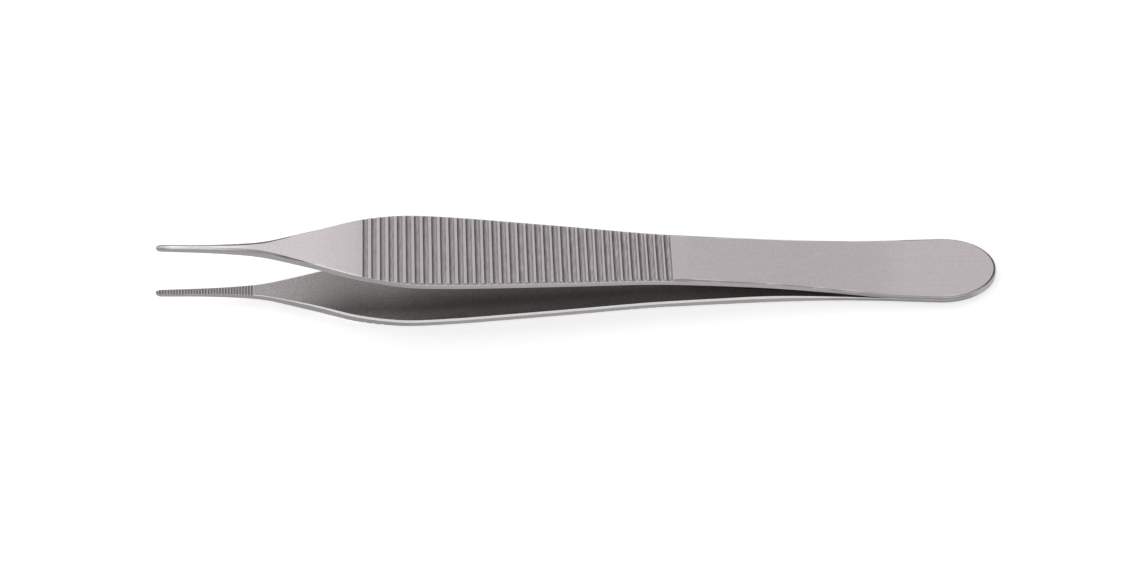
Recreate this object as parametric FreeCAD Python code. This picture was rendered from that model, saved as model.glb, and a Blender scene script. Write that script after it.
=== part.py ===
import FreeCAD, Part
import math
import os

# Thumb forceps: two identical steel blades, welded face to face at the heel.
# All sizes are in millimetres. Places along a blade are measured from its tip.
# A blade is drawn with the closing plane of the forceps at height 0 and its own inner face above it.

# Lengths of the zones, from the tip to the heel
beak_length = 13.9
flare_length = 15.65
rib_count = 36
rib_pitch = 1.236
handle_length = 32.95
weld_length = 13.0
nose_round_length = 0.9
heel_round_length = 7.7

# Where the shape changes within a zone, as a share of the zone's length
beak_middle_share = 0.5
flare_foot_share = 0.28
flare_middle_share = 0.58
grip_widest_share = 0.175
grip_middle_share = 0.6
waist_share = 0.37
handle_rear_share = 0.7

# Full widths of a blade
nose_width = 0.76
beak_middle_width = 0.91
beak_root_width = 1.57
flare_foot_width = 3.2
flare_middle_width = 5.53
rib_front_width = 9.06
grip_width = 10.91
grip_middle_width = 9.22
rib_rear_width = 7.28
waist_width = 7.04
handle_rear_width = 7.74
weld_front_width = 8.95
heel_width = 9.28

# Clear distances between the inner faces, with the forceps at rest
tip_opening = 14.72
beak_root_opening = 13.25
flare_opening = 12.57
rib_front_opening = 12.45
rib_rear_opening = 5.89
waist_opening = 3.35
handle_rear_opening = 1.36

# Thicknesses of a blade
nose_thickness = 0.91
beak_root_thickness = 1.61
flare_thickness = 1.83
grip_thickness = 1.66
waist_thickness = 1.63
handle_rear_thickness = 1.22
heel_thickness = 0.97

# Sizes of the broken outer edges
nose_edge = 0.24
beak_middle_edge = 0.4
beak_root_edge = 0.44
flare_edge = 0.1
grip_edge = 0.33
waist_edge = 0.12
heel_edge = 0.2

# How round an outer edge is: 1 is a quarter round and 0 is a flat bevel
beak_roundness = 1.0
grip_roundness = 0.2
heel_roundness = 0.6

# Bevels of the inner edges
beak_bevel = 0.04
grip_bevel = 0.24
heel_bevel = 0.02

# Cross grooves of the grip: the cutter goes deeper, and leans more, towards the rear
groove_cutter_radius = 0.56
groove_front_depth = 0.18
groove_rear_depth = 0.32
groove_rear_lean_degrees = 4.0

# The outer face of the grip is ground flat: the stock that this takes off, and how far it runs past the grooves
grinding_allowance = 0.04
grinding_run_out = 3.0

# Cross serrations of the jaws
tooth_pitch = 0.41
tooth_gap_width = 0.35
tooth_depth = 0.15
tooth_count = 34

# Spacing of the blade's sections, and of the last two, which lie close so that a part ends at the laws' own slope
section_spacing = 3.0
end_spacing = 0.5

# How far a cutting tool stands clear of the work,
# and how far the inner poles of a cubic curve lie towards the corner to make it a quarter round
tool_clearance = 1.0
quarter_round_pull = 4 / 3 * (math.sqrt(2) - 1)

# Places along the blade
beak_root = beak_length
rib_front = beak_root + flare_length
rib_rear = rib_front + rib_count * rib_pitch
weld_front = rib_rear + handle_length
overall_length = weld_front + weld_length
nose_centre = nose_round_length
heel_centre = overall_length - heel_round_length
grip_length = rib_rear - rib_front
beak_middle = beak_middle_share * beak_length
flare_foot = beak_root + flare_foot_share * flare_length
flare_middle = beak_root + flare_middle_share * flare_length
grip_widest = rib_front + grip_widest_share * grip_length
grip_middle = rib_front + grip_middle_share * grip_length
waist = rib_rear + waist_share * handle_length
handle_rear = rib_rear + handle_rear_share * handle_length

# How much nearer to the closing plane each millimetre of the grip's length brings it
grip_slope = (rib_front_opening - rib_rear_opening) / 2 / grip_length


def grip_opening(place):
    """The distance between the grips' inner faces, which are straight from end to end."""
    return rib_front_opening - 2 * grip_slope * (place - rib_front)


def grip_height(place):
    """The height of the grip's ground outer face."""
    return grip_opening(place) / 2 + grip_thickness


def smooth_law(stations):
    """A smooth curve through (place, value) pairs that never goes past the values beside it."""
    places = [place for place, value in stations]
    values = [value for place, value in stations]
    slopes = []
    for i in range(len(places) - 1):
        slopes.append((values[i + 1] - values[i]) / (places[i + 1] - places[i]))
    tangents = [slopes[0]]
    for before, after in zip(slopes, slopes[1:]):
        turns_back = before * after <= 0
        tangents.append(0.0 if turns_back else 2 * before * after / (before + after))
    tangents.append(slopes[-1])

    def value_at(place):
        i = 0
        while i < len(slopes) - 1 and place > places[i + 1]:
            i += 1
        span = places[i + 1] - places[i]
        s = (place - places[i]) / span
        start = (1 + 2 * s) * (1 - s) ** 2 * values[i]
        start_tangent = s * (1 - s) ** 2 * span * tangents[i]
        end = s * s * (3 - 2 * s) * values[i + 1]
        end_tangent = s * s * (s - 1) * span * tangents[i + 1]
        return start + start_tangent + end + end_tangent

    return value_at


width_at = smooth_law([
    (0, nose_width),
    (beak_middle, beak_middle_width),
    (beak_root, beak_root_width),
    (flare_foot, flare_foot_width),
    (flare_middle, flare_middle_width),
    (rib_front, rib_front_width),
    (grip_widest, grip_width),
    (grip_middle, grip_middle_width),
    (rib_rear, rib_rear_width),
    (waist, waist_width),
    (handle_rear, handle_rear_width),
    (weld_front, weld_front_width),
    (heel_centre, heel_width),
])
opening_at = smooth_law([
    (0, tip_opening),
    (beak_root, beak_root_opening),
    (flare_middle, flare_opening),
    (rib_front, rib_front_opening),
    (grip_widest, grip_opening(grip_widest)),
    (grip_middle, grip_opening(grip_middle)),
    (rib_rear, rib_rear_opening),
    (waist, waist_opening),
    (handle_rear, handle_rear_opening),
    (weld_front, 0),
    (overall_length, 0),
])
thickness_at = smooth_law([
    (0, nose_thickness),
    (beak_root, beak_root_thickness),
    (flare_middle, flare_thickness),
    (rib_front, grip_thickness + grinding_allowance),
    (rib_rear, grip_thickness + grinding_allowance),
    (waist, waist_thickness),
    (handle_rear, handle_rear_thickness),
    (weld_front, heel_thickness),
    (overall_length, heel_thickness),
])
outer_edge_at = smooth_law([
    (0, nose_edge),
    (beak_middle, beak_middle_edge),
    (beak_root, beak_root_edge),
    (flare_middle, flare_edge),
    (rib_front, flare_edge),
    (grip_widest, grip_edge),
    (rib_rear, grip_edge),
    (waist, waist_edge),
    (weld_front, heel_edge),
    (overall_length, heel_edge),
])
roundness_at = smooth_law([
    (0, beak_roundness),
    (beak_root, beak_roundness),
    (flare_middle, grip_roundness),
    (handle_rear, grip_roundness),
    (weld_front, heel_roundness),
    (overall_length, heel_roundness),
])
bevel_at = smooth_law([
    (0, beak_bevel),
    (beak_root, beak_bevel),
    (rib_front, grip_bevel),
    (waist, grip_bevel),
    (weld_front, heel_bevel),
    (overall_length, heel_bevel),
])


def broken_edge(side_end, corner, face_start, roundness):
    """A curve from the side to the outer face, between a flat bevel and a quarter round."""
    poles = [side_end]
    for end, far_end in ((side_end, face_start), (face_start, side_end)):
        bevel_pole = end + (far_end - end) / 3
        round_pole = end + (corner - end) * quarter_round_pull
        poles.append(bevel_pole * (1 - roundness) + round_pole * roundness)
    poles.append(face_start)
    curve = Part.BezierCurve()
    curve.setPoles(poles)
    return curve.toShape()


def half_profile(place):
    """The edges round one half of the blade's section, from the inner face to the outer face."""
    half = width_at(place) / 2
    low = opening_at(place) / 2
    high = low + thickness_at(place)
    bevel = bevel_at(place)
    size = outer_edge_at(place)
    inner_edge = FreeCAD.Vector(place, half - bevel, low)
    side_start = FreeCAD.Vector(place, half, low + bevel)
    side_end = FreeCAD.Vector(place, half, high - size)
    corner = FreeCAD.Vector(place, half, high)
    outer_edge = FreeCAD.Vector(place, half - size, high)
    edges = [
        Part.makeLine(inner_edge, side_start),
        Part.makeLine(side_start, side_end),
        broken_edge(side_end, corner, outer_edge, roundness_at(place)),
    ]
    return edges, inner_edge, outer_edge


def section(place):
    """The closed outline of the blade's section."""
    edges, inner_edge, outer_edge = half_profile(place)
    other_inner_edge = FreeCAD.Vector(place, -inner_edge.y, inner_edge.z)
    other_outer_edge = FreeCAD.Vector(place, -outer_edge.y, outer_edge.z)
    across = FreeCAD.Vector(0, 1, 0)
    mirrored = [edge.mirror(FreeCAD.Vector(), across) for edge in edges]
    top = Part.makeLine(outer_edge, other_outer_edge)
    bottom = Part.makeLine(other_inner_edge, inner_edge)
    return Part.Wire(Part.__sortEdges__(edges + [top] + mirrored + [bottom]))


def swept_body(start, end):
    """The blade between two places, lofted through evenly spaced sections."""
    steps = max(3, math.ceil((end - start) / section_spacing))
    places = [start + (end - start) * i / steps for i in range(steps + 1)]
    places.insert(-1, end - end_spacing)
    return Part.makeLoft([section(place) for place in places], True, False)


def round_end(place, length, turn):
    """A rounded end: half the section is revolved about the blade's middle, then stretched lengthwise."""
    edges, inner_edge, outer_edge = half_profile(place)
    middle_low = FreeCAD.Vector(place, 0, inner_edge.z)
    middle_high = FreeCAD.Vector(place, 0, outer_edge.z)
    edges.append(Part.makeLine(outer_edge, middle_high))
    edges.append(Part.makeLine(middle_high, middle_low))
    edges.append(Part.makeLine(middle_low, inner_edge))
    face = Part.Face(Part.Wire(Part.__sortEdges__(edges)))
    dome = face.revolve(middle_low, FreeCAD.Vector(0, 0, 1), turn)
    dome.translate(FreeCAD.Vector(-place, 0, 0))
    stretch = FreeCAD.Matrix()
    stretch.A11 = length / (width_at(place) / 2)
    dome = dome.transformGeometry(stretch)
    dome.translate(FreeCAD.Vector(place, 0, 0))
    return dome


def plain_blade():
    nose = round_end(nose_centre, nose_round_length, 180)
    sprung_part = swept_body(nose_centre, weld_front)
    welded_part = swept_body(weld_front, heel_centre)
    heel = round_end(heel_centre, heel_round_length, -180)
    return nose.fuse([sprung_part, welded_part, heel]).removeSplitter()


def grinding_tool():
    """The block that takes the outer face of the grip down to a true plane."""
    across = grip_width + 2 * tool_clearance
    front = rib_front - grinding_run_out
    rear = rib_rear + grinding_run_out
    corners = []
    for place in (front, rear):
        corners.append(FreeCAD.Vector(place, -across / 2, grip_height(place)))
    for place in (rear, front):
        corners.append(FreeCAD.Vector(place, -across / 2, grip_height(place) + tool_clearance))
    side = Part.Face(Part.makePolygon(corners + corners[:1]))
    return side.extrude(FreeCAD.Vector(0, across, 0))


def groove_places():
    half_groove = math.sqrt(2 * groove_cutter_radius * groove_front_depth - groove_front_depth ** 2)
    return [rib_front + half_groove + i * rib_pitch for i in range(rib_count)]


def groove_tool(number, place):
    """One pass of the groove cutter, a long rod across the blade."""
    share = number / (rib_count - 1)
    depth = groove_front_depth + share * (groove_rear_depth - groove_front_depth)
    lean = math.radians(share * groove_rear_lean_degrees)
    direction = FreeCAD.Vector(math.sin(lean), -math.cos(lean), 0)
    length = grip_width + 2 * tool_clearance
    centre = FreeCAD.Vector(place, 0, grip_height(place) + groove_cutter_radius - depth)
    return Part.makeCylinder(groove_cutter_radius, length, centre - direction * (length / 2), direction)


def tooth_tool(number):
    """The wedge that cuts one gap between two teeth of the jaw."""
    place = tooth_pitch * (number + 0.5)
    low = opening_at(place) / 2
    across = beak_root_width + 2 * tool_clearance
    front = place - tooth_gap_width / 2
    rear = place + tooth_gap_width / 2
    corners = [
        FreeCAD.Vector(place, -across / 2, low + tooth_depth),
        FreeCAD.Vector(rear, -across / 2, low),
        FreeCAD.Vector(rear, -across / 2, low - tool_clearance),
        FreeCAD.Vector(front, -across / 2, low - tool_clearance),
        FreeCAD.Vector(front, -across / 2, low),
    ]
    side = Part.Face(Part.makePolygon(corners + corners[:1]))
    return side.extrude(FreeCAD.Vector(0, across, 0))


def blade():
    grooves = [groove_tool(number, place) for number, place in enumerate(groove_places())]
    teeth = [tooth_tool(number) for number in range(tooth_count)]
    body = plain_blade().cut(grinding_tool())
    return body.cut(Part.makeCompound(grooves)).cut(Part.makeCompound(teeth))


def lay_down(shape):
    """Turns the forceps so that the grip of its lower blade lies flat on the ground plane."""
    origin = FreeCAD.Vector()
    tilt = math.atan(grip_slope)
    shape.rotate(origin, FreeCAD.Vector(0, 1, 0), math.degrees(tilt))
    floor = rib_front * math.sin(tilt) + grip_height(rib_front) * math.cos(tilt)
    shape.translate(FreeCAD.Vector(-overall_length / 2 * math.cos(tilt), 0, floor))
    return shape


def main():
    os.makedirs("parts", exist_ok=True)
    upper_blade = blade()
    lower_blade = upper_blade.copy()
    lower_blade.rotate(FreeCAD.Vector(), FreeCAD.Vector(1, 0, 0), 180)
    lay_down(upper_blade).exportStep("parts/upper_blade.step")
    lay_down(lower_blade).exportStep("parts/lower_blade.step")


main()
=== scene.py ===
import bpy
import math
from mathutils import Matrix, Vector

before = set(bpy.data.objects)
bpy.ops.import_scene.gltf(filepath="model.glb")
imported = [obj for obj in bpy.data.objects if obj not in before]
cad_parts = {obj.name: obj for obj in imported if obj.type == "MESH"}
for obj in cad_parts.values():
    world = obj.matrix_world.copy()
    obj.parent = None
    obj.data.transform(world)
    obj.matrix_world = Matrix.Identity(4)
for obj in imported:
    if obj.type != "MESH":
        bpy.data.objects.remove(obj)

# Thumb forceps of satin ground steel, lying on a pale floor. Lengths are in metres, in the model's frame.

# The closing plane of the blades drops towards the heel by this angle, because the lower grip lies flat.
# It starts midway between the two tips.
BLADE_TILT = math.radians(4.216)
CLOSING_PLANE_TIP = Vector((-0.05984, 0, 0.010036))

# The camera looks down on the blades, leaning this far from square to the closing plane
CAMERA_LEAN = math.radians(24.5)
CAMERA_DISTANCE = 0.9
CAMERA_NEAR = 0.05
CAMERA_FAR = 10
VIEW_WIDTH = 0.16171
# What the middle of the picture looks at: a point along the closing plane, and how far below its middle line
VIEW_CENTRE_FROM_TIP = 0.05861
VIEW_CENTRE_BELOW = 0.0016

# The ribbed grip: how far it lies from the tip, how high its ground outer face is above the closing plane,
# and over what length its finish fades in and out
GRIP_FRONT = 0.02955
GRIP_REAR = 0.07405
GRIP_FRONT_HEIGHT = 0.007885
GRIP_REAR_HEIGHT = 0.004605
GRIP_FRONT_FADE = 0.0002
GRIP_REAR_FADE = 0.0005

# The serrated jaw: how far it reaches from the tip, how high its face is above the closing plane, and over
# what length its finish fades out
JAW_LENGTH = 0.01394
JAW_FRONT_HEIGHT = 0.00736
JAW_REAR_HEIGHT = 0.006625
JAW_FADE = 0.0001

# Half a blade's width where the grip is widest and where it ends, each with its distance from the tip
WIDEST_FROM_TIP = 0.036
WIDEST_HALF_WIDTH = 0.00545
NARROW_FROM_TIP = 0.074
NARROW_HALF_WIDTH = 0.00364

# Where one face of a blade passes into the next: the share of the surface's direction that points to a side,
# outwards from the closing plane or in towards it, at the start and at the end of the change
INNER_FACE_TURN = (0.8, 0.95)
SIDE_FACE_TURN = (0.85, 0.97)
BROKEN_EDGE_TURN = (0.2, 0.5)
INNER_BEVEL_OUTWARD = (-0.4, -0.55)
INNER_BEVEL_SIDEWAYS = (0.4, 0.55)
GROOVE_SIDEWAYS = (0.3, 0.5)
SERRATION_SIDEWAYS = (0.4, 0.6)

# How far below the ground face the grooves' skin starts and is full, and how far behind the face of the jaw
# the serrations' skin is full and ends
GROOVE_DEPTHS = (0.00001, 0.00006)
SERRATION_HEIGHTS = (0.00018, 0.00026)

# What each part of the steel reflects, in linear red, green and blue
# A painted highlight on the top of the beak
BEAK_HIGHLIGHT_COLOUR = (0.74, 0.72, 0.72)
# A painted highlight on the inner bevels
INNER_BEVEL_HIGHLIGHT_COLOUR = (0.72, 0.7, 0.7)
# Painted highlights along sharp edges
EDGE_GLINT_COLOUR = (0.8, 0.78, 0.78)
SERRATION_COLOUR = (0.36, 0.342, 0.343)
# A painted lighter rim on the inner face
INNER_RIM_LIGHT_COLOUR = (0.37, 0.36, 0.35)
# Painted shade along the outer face's broken edges, deeper on part of the flare and followed by a painted
# highlight, and the heel's edge
EDGE_SHADE_COLOUR = (0.3, 0.28, 0.283)
EDGE_DARK_SHADE_COLOUR = (0.16, 0.15, 0.15)
EDGE_HIGHLIGHT_COLOUR = (0.82, 0.8, 0.8)
HEEL_EDGE_COLOUR = (0.37, 0.345, 0.35)
# The outer face is painted lighter at the flare than further back
FLARE_PAINTED_LIGHT_COLOUR = (0.47, 0.437, 0.446)
OUTER_COLOUR = (0.37, 0.339, 0.348)
# The side faces, darker at the front and darkest at the heel
FRONT_SIDE_COLOUR = (0.265, 0.25, 0.253)
SIDE_COLOUR = (0.33, 0.31, 0.314)
HEEL_SIDE_COLOUR = (0.22, 0.207, 0.21)
# The inner face painted darker as shade between the blades, lightest at the jaw
JAW_FACE_SHADE_COLOUR = (0.26, 0.245, 0.246)
INNER_FRONT_SHADE_COLOUR = (0.165, 0.159, 0.156)
INNER_SHADE_COLOUR = (0.145, 0.14, 0.136)
INNER_REAR_SHADE_COLOUR = (0.17, 0.165, 0.161)
# The grooves painted darker than the lands as shade, lighter towards the rear, with darker random streaks
SHADED_GROOVE_STREAK_COLOUR = (0.27, 0.251, 0.253)
SHADED_GROOVE_COLOUR = (0.38, 0.352, 0.356)
REAR_SHADED_GROOVE_COLOUR = (0.46, 0.427, 0.431)

# How the colour of each face changes on the way to the heel: its first colour, and then each next colour
# with the distances from the tip between which it takes over. On most faces these changes are painted light
# and shade.
OUTER_SHADING = (FLARE_PAINTED_LIGHT_COLOUR, ((0.02, 0.036, OUTER_COLOUR),))
EDGE_SHADING = (EDGE_SHADE_COLOUR, (
    (0.0165, 0.0185, EDGE_DARK_SHADE_COLOUR),
    (0.0215, 0.0235, EDGE_HIGHLIGHT_COLOUR),
    (0.029, 0.031, EDGE_SHADE_COLOUR),
    (0.095, 0.103, HEEL_EDGE_COLOUR),
))
SIDE_TONES = (FRONT_SIDE_COLOUR, ((0.032, 0.045, SIDE_COLOUR), (0.09, 0.104, HEEL_SIDE_COLOUR)))
INNER_SHADE = (JAW_FACE_SHADE_COLOUR, (
    (0.0145, 0.03, INNER_FRONT_SHADE_COLOUR),
    (0.035, 0.05, INNER_SHADE_COLOUR),
    (0.07, 0.1, INNER_REAR_SHADE_COLOUR),
))
GROOVE_SHADE = (SHADED_GROOVE_COLOUR, ((0.035, 0.072, REAR_SHADED_GROOVE_COLOUR),))

# A painted highlight on the top of the beak: where it starts and ends from the tip, and how far its surface
# faces outwards
BEAK_HIGHLIGHT_STARTS = (0.0008, 0.0025)
BEAK_HIGHLIGHT_ENDS = (0.007, 0.015)
BEAK_HIGHLIGHT_OUTWARD = (0.5, 0.85)

# A painted lighter rim on the inner face, standing for reflected light, from how far inside the blade's
# outline it starts to where it is full
INNER_RIM_LIGHT = (0.0024, 0.0004)

# Painted highlights along sharp edges: how wide they are, how sharp an edge is where they start and are
# full, how they break up into patches, and how they grow on the grip from the top of a land to its ends
GLINT_RADIUS = 0.00012
GLINT_SAMPLES = 4
GLINT_SHARPNESS = (0.998, 0.96)
GLINT_PATCHES = {"scale": 500, "stretch": (2, 1, 1), "detail": 3, "roughness": 0.5}
GLINT_PATCH_EDGES = (0.4, 0.6)
GRIP_GLINT_SIDEWAYS = (0.15, 0.4)
GRIP_GLINT_ON_TOP = 0.4

# The streaks that the cutter left in the grooves, the satin grain, and the lines where the steel was brushed
GROOVE_STREAKS = {"scale": 6000, "stretch": (1, 9, 9), "detail": 3, "roughness": 0.6}
GROOVE_STREAK_EDGES = (0.3, 0.7)
GRAIN = {"scale": 7000, "stretch": (1.5, 1, 1), "detail": 2, "roughness": 0.6}
GRAIN_DEPTH = 0.55
INNER_GRAIN_EXTRA = 0.7
BRUSHED_LINES = {"scale": 2500, "stretch": (40, 1, 1), "detail": 3, "roughness": 0.6}
BRUSHED_DEPTH = 0.12
NOISE_MIDDLE = 0.5

# The arcs of the polishing wheel on the heel: the point they turn round, their spacing, their wander, and
# where they start and end from the tip and across the blade
ARC_CENTRE = (0.117, 0.003, 0)
ARC_SPACING = 0.0005
ARC_WANDER = {"scale": 300, "stretch": (1, 1, 1), "detail": 2, "roughness": 0.5}
ARC_WANDER_TURN = 9
ARCS_START = (0.099, 0.104)
ARCS_END = (0.108, 0.113)
ARCS_ACROSS = (0.001, -0.001)
ARC_DEPTH = 0.03

# How rough the steel is, what the grooves and the grain add to that, and the relief of its surface
ROUGHNESS = 0.26
GROOVE_ROUGHNESS = 0.2
GRAIN_ROUGHNESS = 0.12
RELIEF_HEIGHT = 0.000004
BRUSHED_RELIEF = 0.6
GROOVE_RELIEF = 4

# The floor is a hair below the lands that the lower grip lies on, and is clear when seen from underneath
FLOOR_SIZE = 6.0
FLOOR_HEIGHT = -0.00005
FLOOR_COLOUR = (0.8, 0.8, 0.8)
# What the floor adds to its own lit colour where it is seen, so that it reads as white
FLOOR_FILL = 0.5

WHITE = (1, 1, 1, 1)

# The softbox hangs over the forceps, a little behind them. Its power is in watts.
SOFTBOX_PLACE = Vector((0.02, 0.33, 0.75))
SOFTBOX_TARGET = Vector((0, 0, 0))
SOFTBOX_WIDTH = 1.1
SOFTBOX_DEPTH = 0.6
SOFTBOX_POWER = 2.35

# The studio round the softbox is bright in front and past the jaws, and darker behind and past the heel
SKY_STRENGTH = 0.95
DARK_SIDE = (0.76, 0.65, 0)
DARK_SIDE_START = -0.5
DARK_SIDE_FULL = 0.6
DARK_SIDE_STRENGTH = 0.2


def blade_axes():
    """The directions along the blades towards the heel, across them, and square to the closing plane."""
    along = Vector((math.cos(BLADE_TILT), 0, -math.sin(BLADE_TILT)))
    square = Vector((math.sin(BLADE_TILT), 0, math.cos(BLADE_TILT)))
    return along, Vector((0, 1, 0)), square


def new_nodes(material):
    material.use_nodes = True
    tree = material.node_tree
    tree.nodes.clear()
    return tree


def math_node(tree, operation, first, second=None, third=None, clamp=False):
    node = tree.nodes.new("ShaderNodeMath")
    node.operation = operation
    node.use_clamp = clamp
    for socket, value in zip(node.inputs, (first, second, third)):
        if value is None:
            continue
        if isinstance(value, (int, float)):
            socket.default_value = value
        else:
            tree.links.new(value, socket)
    return node.outputs[0]


def product(tree, *shares):
    """Several shares multiplied together."""
    result = shares[0]
    for share in shares[1:]:
        result = math_node(tree, "MULTIPLY", result, share)
    return result


def remainder(tree, share):
    return math_node(tree, "SUBTRACT", 1, share)


def dot_node(tree, vector, direction):
    node = tree.nodes.new("ShaderNodeVectorMath")
    node.operation = "DOT_PRODUCT"
    tree.links.new(vector, node.inputs[0])
    node.inputs[1].default_value = direction
    return node.outputs["Value"]


def ramp_node(tree, value, low, high, start=0.0, end=1.0, shape="SMOOTHSTEP"):
    """Goes from `start` to `end` while the value goes from `low` to `high`."""
    node = tree.nodes.new("ShaderNodeMapRange")
    node.interpolation_type = shape
    tree.links.new(value, node.inputs["Value"])
    node.inputs["From Min"].default_value = low
    node.inputs["From Max"].default_value = high
    node.inputs["To Min"].default_value = start
    node.inputs["To Max"].default_value = end
    return node.outputs[0]


def mix_colours(tree, share, first, second):
    node = tree.nodes.new("ShaderNodeMix")
    node.data_type = "RGBA"
    tree.links.new(share, node.inputs["Factor"])
    for socket, value in ((node.inputs[6], first), (node.inputs[7], second)):
        if isinstance(value, tuple):
            socket.default_value = (*value, 1)
        else:
            tree.links.new(value, socket)
    return node.outputs[2]


def noise_node(tree, place, scale, stretch, detail, roughness):
    """Noise with `scale` patches to the metre, drawn out by `stretch` along, across and square."""
    spread = tree.nodes.new("ShaderNodeVectorMath")
    spread.operation = "MULTIPLY"
    tree.links.new(place, spread.inputs[0])
    spread.inputs[1].default_value = [1 / part for part in stretch]
    noise = tree.nodes.new("ShaderNodeTexNoise")
    tree.links.new(spread.outputs[0], noise.inputs["Vector"])
    noise.inputs["Scale"].default_value = scale
    noise.inputs["Detail"].default_value = detail
    noise.inputs["Roughness"].default_value = roughness
    return noise.outputs["Fac"]


def blade_place(tree, outer_sign):
    """Where a point lies on its blade: from the tip, across, and outwards from the closing plane."""
    along, across, square = blade_axes()
    place = tree.nodes.new("ShaderNodeTexCoord").outputs["Object"]
    from_tip = math_node(tree, "SUBTRACT", dot_node(tree, place, along), CLOSING_PLANE_TIP.dot(along))
    aside = dot_node(tree, place, across)
    height = math_node(tree, "SUBTRACT", dot_node(tree, place, square), CLOSING_PLANE_TIP.dot(square))
    height = math_node(tree, "MULTIPLY", height, outer_sign)
    join = tree.nodes.new("ShaderNodeCombineXYZ")
    for socket, value in zip(join.inputs, (from_tip, aside, height)):
        tree.links.new(value, socket)
    return join.outputs[0], from_tip, aside, height


def blade_turn(tree, outer_sign):
    """How much of a surface's direction points outwards, inwards to the closing plane, and to a side."""
    across, square = blade_axes()[1:]
    normal = tree.nodes.new("ShaderNodeTexCoord").outputs["Normal"]
    outward = dot_node(tree, normal, square * outer_sign)
    inward = dot_node(tree, normal, square * -outer_sign)
    sideways = math_node(tree, "ABSOLUTE", dot_node(tree, normal, across))
    return outward, inward, sideways


def grip_share(tree, from_tip):
    """1 on the stretch of the ribbed grip, and 0 before and behind it."""
    started = ramp_node(tree, from_tip, GRIP_FRONT - GRIP_FRONT_FADE, GRIP_FRONT)
    not_ended = ramp_node(tree, from_tip, GRIP_REAR, GRIP_REAR + GRIP_REAR_FADE, 1, 0)
    return product(tree, started, not_ended)


def groove_share(tree, on_grip, from_tip, height, sideways, inner):
    """1 on the skin of the grip's grooves."""
    heights = (GRIP_FRONT_HEIGHT, GRIP_REAR_HEIGHT)
    ground_face = ramp_node(tree, from_tip, GRIP_FRONT, GRIP_REAR, *heights, "LINEAR")
    below = ramp_node(tree, math_node(tree, "SUBTRACT", ground_face, height), *GROOVE_DEPTHS)
    not_side = ramp_node(tree, sideways, *GROOVE_SIDEWAYS, 1, 0)
    return product(tree, below, on_grip, not_side, remainder(tree, inner))


def serration_share(tree, from_tip, height, sideways):
    """1 on the serrations of the jaw."""
    jaw_face = ramp_node(tree, from_tip, 0, JAW_LENGTH, JAW_FRONT_HEIGHT, JAW_REAR_HEIGHT, "LINEAR")
    near_face = ramp_node(tree, math_node(tree, "SUBTRACT", height, jaw_face), *SERRATION_HEIGHTS, 1, 0)
    on_jaw = ramp_node(tree, from_tip, JAW_LENGTH, JAW_LENGTH + JAW_FADE, 1, 0)
    not_side = ramp_node(tree, sideways, *SERRATION_SIDEWAYS, 1, 0)
    return product(tree, near_face, on_jaw, not_side)


def colour_along(tree, from_tip, tones):
    """The colour of a face, which changes on the way to the heel."""
    colour, changes = tones
    for start, end, next_colour in changes:
        colour = mix_colours(tree, ramp_node(tree, from_tip, start, end), colour, next_colour)
    return colour


def outer_shading(tree, from_tip, outward, sideways):
    """The outer face with painted light at the flare, painted shade and highlights on its broken edges, and
    a painted highlight on the top of the beak.
    """
    face = colour_along(tree, from_tip, OUTER_SHADING)
    edge = colour_along(tree, from_tip, EDGE_SHADING)
    colour = mix_colours(tree, ramp_node(tree, sideways, *BROKEN_EDGE_TURN), face, edge)
    not_ended = ramp_node(tree, from_tip, *BEAK_HIGHLIGHT_ENDS, 1, 0)
    started = ramp_node(tree, from_tip, *BEAK_HIGHLIGHT_STARTS)
    on_top = ramp_node(tree, outward, *BEAK_HIGHLIGHT_OUTWARD)
    return mix_colours(tree, product(tree, not_ended, started, on_top), colour, BEAK_HIGHLIGHT_COLOUR)


def inner_shading(tree, from_tip, aside):
    """The inner face painted darker as shade between the blades, with a painted lighter rim."""
    face = colour_along(tree, from_tip, INNER_SHADE)
    widths = (WIDEST_HALF_WIDTH, NARROW_HALF_WIDTH)
    half_width = ramp_node(tree, from_tip, WIDEST_FROM_TIP, NARROW_FROM_TIP, *widths, "LINEAR")
    inside_outline = math_node(tree, "SUBTRACT", half_width, math_node(tree, "ABSOLUTE", aside))
    return mix_colours(tree, ramp_node(tree, inside_outline, *INNER_RIM_LIGHT), face, INNER_RIM_LIGHT_COLOUR)


def edge_glint_share(tree, place, on_grip, sideways, serration):
    """1 where a sharp edge gets a painted highlight."""
    rounded = tree.nodes.new("ShaderNodeBevel")
    rounded.samples = GLINT_SAMPLES
    rounded.inputs["Radius"].default_value = GLINT_RADIUS
    sharp = tree.nodes.new("ShaderNodeVectorMath")
    sharp.operation = "DOT_PRODUCT"
    tree.links.new(rounded.outputs[0], sharp.inputs[0])
    tree.links.new(tree.nodes.new("ShaderNodeNewGeometry").outputs["Normal"], sharp.inputs[1])
    edges = ramp_node(tree, sharp.outputs["Value"], *GLINT_SHARPNESS)
    patches = ramp_node(tree, noise_node(tree, place, **GLINT_PATCHES), *GLINT_PATCH_EDGES)
    patches = product(tree, patches, remainder(tree, on_grip))
    on_lands = product(tree, on_grip, ramp_node(tree, sideways, *GRIP_GLINT_SIDEWAYS, GRIP_GLINT_ON_TOP, 1))
    return product(tree, edges, math_node(tree, "ADD", on_lands, patches), remainder(tree, serration))


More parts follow.
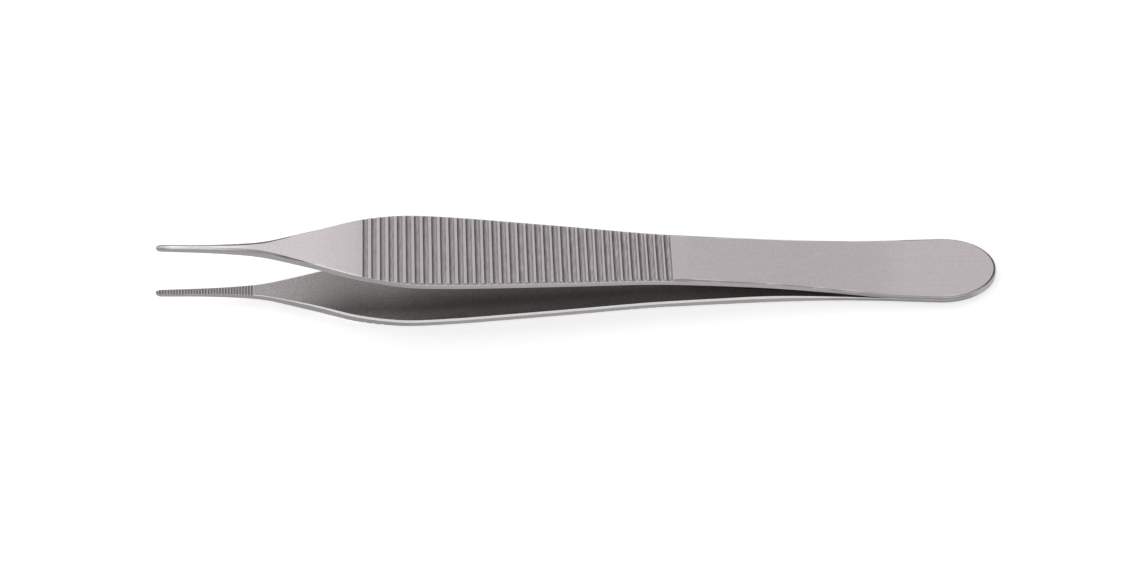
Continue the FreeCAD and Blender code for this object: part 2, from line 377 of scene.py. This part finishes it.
def polishing_arcs(tree, place, from_tip, aside):
    """Faint arcs that the polishing wheel left on one side of the heel."""
    point = tree.nodes.new("ShaderNodeCombineXYZ")
    tree.links.new(from_tip, point.inputs["X"])
    tree.links.new(aside, point.inputs["Y"])
    distance = tree.nodes.new("ShaderNodeVectorMath")
    distance.operation = "DISTANCE"
    tree.links.new(point.outputs[0], distance.inputs[0])
    distance.inputs[1].default_value = ARC_CENTRE
    turns = math_node(tree, "MULTIPLY", distance.outputs["Value"], 2 * math.pi / ARC_SPACING)
    wander = noise_node(tree, place, **ARC_WANDER)
    wave = math_node(tree, "SINE", math_node(tree, "MULTIPLY_ADD", wander, ARC_WANDER_TURN, turns))
    started = ramp_node(tree, from_tip, *ARCS_START)
    not_ended = ramp_node(tree, from_tip, *ARCS_END, 1, 0)
    return product(tree, wave, started, not_ended, ramp_node(tree, aside, *ARCS_ACROSS), ARC_DEPTH)


def scale_colour(tree, colour, tone):
    shade = tree.nodes.new("ShaderNodeVectorMath")
    shade.operation = "SCALE"
    tree.links.new(colour, shade.inputs[0])
    tree.links.new(tone, shade.inputs["Scale"])
    return shade.outputs[0]


def add_relief(tree, shader, height):
    bump = tree.nodes.new("ShaderNodeBump")
    bump.inputs["Strength"].default_value = 1
    bump.inputs["Distance"].default_value = RELIEF_HEIGHT
    tree.links.new(height, bump.inputs["Height"])
    tree.links.new(bump.outputs[0], shader.inputs["Normal"])


def steel(name, outer_sign):
    """The steel of one blade. `outer_sign` is 1 if its outer face looks up, and -1 if it looks down."""
    material = bpy.data.materials.new(name)
    tree = new_nodes(material)
    shader = tree.nodes.new("ShaderNodeBsdfPrincipled")
    output = tree.nodes.new("ShaderNodeOutputMaterial")
    tree.links.new(shader.outputs[0], output.inputs[0])
    shader.inputs["Metallic"].default_value = 1.0

    # Which part of the blade a point lies on
    place, from_tip, aside, height = blade_place(tree, outer_sign)
    outward, inward, sideways = blade_turn(tree, outer_sign)
    inner = ramp_node(tree, inward, *INNER_FACE_TURN)
    side = ramp_node(tree, sideways, *SIDE_FACE_TURN)
    turned_in = ramp_node(tree, outward, *INNER_BEVEL_OUTWARD)
    inner_bevel = product(tree, turned_in, ramp_node(tree, sideways, *INNER_BEVEL_SIDEWAYS))
    on_grip = grip_share(tree, from_tip)
    groove = groove_share(tree, on_grip, from_tip, height, sideways, inner)
    serration = serration_share(tree, from_tip, height, sideways)

    # The colour of each part
    streaks = noise_node(tree, place, **GROOVE_STREAKS)
    # The grooves are painted darker as shade, with darker random streaks
    shaded_groove_colour = colour_along(tree, from_tip, GROOVE_SHADE)
    pale_streaks = ramp_node(tree, streaks, *GROOVE_STREAK_EDGES)
    shaded_groove_colour = mix_colours(tree, pale_streaks, SHADED_GROOVE_STREAK_COLOUR, shaded_groove_colour)
    # The outer face with painted light, painted shade and highlights on its edges, and the beak's painted
    # highlight
    colour = outer_shading(tree, from_tip, outward, sideways)
    colour = mix_colours(tree, side, colour, colour_along(tree, from_tip, SIDE_TONES))
    # A painted highlight on the inner bevels
    colour = mix_colours(tree, inner_bevel, colour, INNER_BEVEL_HIGHLIGHT_COLOUR)
    # Painted shade on the inner face between the blades, with a painted lighter rim
    colour = mix_colours(tree, inner, colour, inner_shading(tree, from_tip, aside))
    colour = mix_colours(tree, groove, colour, shaded_groove_colour)
    colour = mix_colours(tree, serration, colour, SERRATION_COLOUR)
    # Painted highlights along sharp edges
    colour = mix_colours(tree, edge_glint_share(tree, place, on_grip, sideways, serration), colour, EDGE_GLINT_COLOUR)

    # A fine satin grain, stronger on the inner face, with faint lines along the blade and the heel's arcs
    grain = noise_node(tree, place, **GRAIN)
    lines = noise_node(tree, place, **BRUSHED_LINES)
    grain_depth = math_node(tree, "MULTIPLY_ADD", inner, INNER_GRAIN_EXTRA, GRAIN_DEPTH)
    grain_swing = math_node(tree, "SUBTRACT", grain, NOISE_MIDDLE)
    lines_swing = math_node(tree, "SUBTRACT", lines, NOISE_MIDDLE)
    tone = math_node(tree, "MULTIPLY_ADD", grain_swing, grain_depth, 1)
    tone = math_node(tree, "MULTIPLY_ADD", lines_swing, BRUSHED_DEPTH, tone)
    tone = math_node(tree, "ADD", tone, polishing_arcs(tree, place, from_tip, aside))
    tree.links.new(scale_colour(tree, colour, tone), shader.inputs["Base Color"])

    rough = math_node(tree, "MULTIPLY_ADD", groove, GROOVE_ROUGHNESS, ROUGHNESS)
    rough = math_node(tree, "MULTIPLY_ADD", grain, GRAIN_ROUGHNESS, rough)
    tree.links.new(rough, shader.inputs["Roughness"])
    relief = math_node(tree, "MULTIPLY_ADD", lines, BRUSHED_RELIEF, grain)
    relief = math_node(tree, "MULTIPLY_ADD", product(tree, groove, streaks), GROOVE_RELIEF, relief)
    add_relief(tree, shader, relief)
    return material


def floor_material():
    """White where it is seen, with the object's shadow, and clear to a camera underneath it."""
    material = bpy.data.materials.new("floor")
    tree = new_nodes(material)
    output = tree.nodes.new("ShaderNodeOutputMaterial")
    diffuse = tree.nodes.new("ShaderNodeBsdfDiffuse")
    diffuse.inputs["Color"].default_value = (*FLOOR_COLOUR, 1)
    fill = tree.nodes.new("ShaderNodeEmission")
    fill.inputs["Color"].default_value = WHITE
    path = tree.nodes.new("ShaderNodeLightPath")
    seen = math_node(tree, "ADD", path.outputs["Is Camera Ray"], path.outputs["Is Glossy Ray"], clamp=True)
    seen = math_node(tree, "ADD", seen, path.outputs["Is Transmission Ray"], clamp=True)
    tree.links.new(math_node(tree, "MULTIPLY", seen, FLOOR_FILL), fill.inputs["Strength"])
    lit = tree.nodes.new("ShaderNodeAddShader")
    tree.links.new(diffuse.outputs[0], lit.inputs[0])
    tree.links.new(fill.outputs[0], lit.inputs[1])
    clear = tree.nodes.new("ShaderNodeBsdfTransparent")
    from_below = tree.nodes.new("ShaderNodeNewGeometry").outputs["Backfacing"]
    sided = tree.nodes.new("ShaderNodeMixShader")
    tree.links.new(math_node(tree, "MULTIPLY", from_below, path.outputs["Is Camera Ray"]), sided.inputs[0])
    tree.links.new(lit.outputs[0], sided.inputs[1])
    tree.links.new(clear.outputs[0], sided.inputs[2])
    tree.links.new(sided.outputs[0], output.inputs[0])
    return material


def add_floor():
    mesh = bpy.data.meshes.new("floor")
    half = FLOOR_SIZE / 2
    corners = [(x, y, FLOOR_HEIGHT) for x, y in ((-half, -half), (half, -half), (half, half), (-half, half))]
    mesh.from_pydata(corners, [], [(0, 1, 2, 3)])
    mesh.materials.append(floor_material())
    floor = bpy.data.objects.new("floor", mesh)
    bpy.context.scene.collection.objects.link(floor)


def add_softbox():
    data = bpy.data.lights.new("softbox", "AREA")
    data.shape = "RECTANGLE"
    data.size = SOFTBOX_WIDTH
    data.size_y = SOFTBOX_DEPTH
    data.energy = SOFTBOX_POWER
    softbox = bpy.data.objects.new("softbox", data)
    bpy.context.scene.collection.objects.link(softbox)
    softbox.location = SOFTBOX_PLACE
    softbox.rotation_mode = "QUATERNION"
    softbox.rotation_quaternion = (SOFTBOX_PLACE - SOFTBOX_TARGET).to_track_quat("Z", "Y")


def add_world():
    world = bpy.data.worlds.new("studio")
    bpy.context.scene.world = world
    world.use_nodes = True
    tree = world.node_tree
    background = tree.nodes["Background"]
    background.inputs["Color"].default_value = WHITE
    direction = tree.nodes.new("ShaderNodeTexCoord").outputs["Generated"]
    toward_dark = dot_node(tree, direction, DARK_SIDE)
    strengths = (SKY_STRENGTH, DARK_SIDE_STRENGTH)
    fade = ramp_node(tree, toward_dark, DARK_SIDE_START, DARK_SIDE_FULL, *strengths)
    tree.links.new(fade, background.inputs["Strength"])


def add_camera():
    along, across, square = blade_axes()
    up = across * math.cos(CAMERA_LEAN) + square * math.sin(CAMERA_LEAN)
    back = square * math.cos(CAMERA_LEAN) - across * math.sin(CAMERA_LEAN)
    data = bpy.data.cameras.new("camera")
    data.type = "ORTHO"
    data.ortho_scale = VIEW_WIDTH
    data.clip_start = CAMERA_NEAR
    data.clip_end = CAMERA_FAR
    camera = bpy.data.objects.new("camera", data)
    bpy.context.scene.collection.objects.link(camera)
    target = CLOSING_PLANE_TIP + along * VIEW_CENTRE_FROM_TIP - up * VIEW_CENTRE_BELOW
    turn = Matrix((along, up, back)).transposed().to_4x4()
    camera.matrix_world = Matrix.Translation(target + back * CAMERA_DISTANCE) @ turn
    bpy.context.scene.camera = camera


def dress_blades():
    for node, outer_sign in (("upper_blade", 1), ("lower_blade", -1)):
        material = steel(node + "_steel", outer_sign)
        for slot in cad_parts[node].material_slots:
            slot.material = material


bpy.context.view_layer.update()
bpy.context.scene.view_settings.view_transform = "Standard"
add_camera()
add_floor()
add_softbox()
add_world()
dress_blades()
